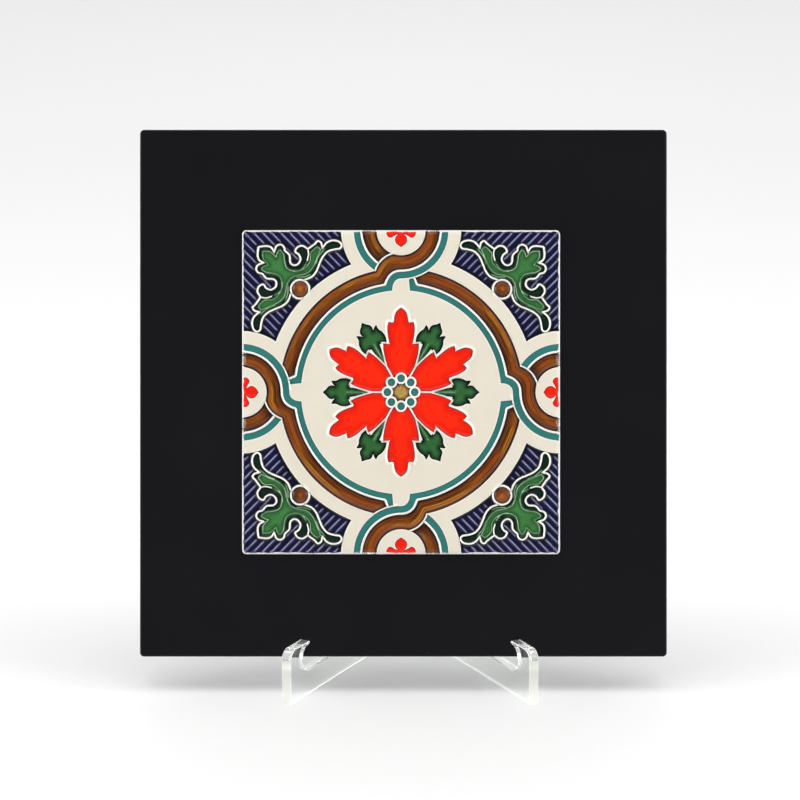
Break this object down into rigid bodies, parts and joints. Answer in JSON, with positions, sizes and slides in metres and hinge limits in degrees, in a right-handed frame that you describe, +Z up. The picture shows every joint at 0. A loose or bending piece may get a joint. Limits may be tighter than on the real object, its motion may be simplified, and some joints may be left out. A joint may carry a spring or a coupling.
{
  "type": "framed azulejo tile on a clear stand",
  "caption": "Glazed relief tile of strapwork, leaves and flowers, let into a black square board that leans in a clear crossed-plate easel stand.",
  "frame": {"origin": "under the middle of the whole thing, on the surface that the stand's plates rest on", "axes": "+Z up, the face of the board towards -Y and leaning back, +X to the right of someone who looks at the face"},
  "size_m": [0.25, 0.1342, 0.2585],
  "materials": {
    "board": "satin black lacquer",
    "tile": "glossy coloured glazes over a pressed relief",
    "stand": "clear polished acrylic"
  },
  "bodies": {
    "root": {"board": "board", "tile": "tile", "stand_left_plate": "stand", "stand_right_plate": "stand"}
  },
  "joints": []
}
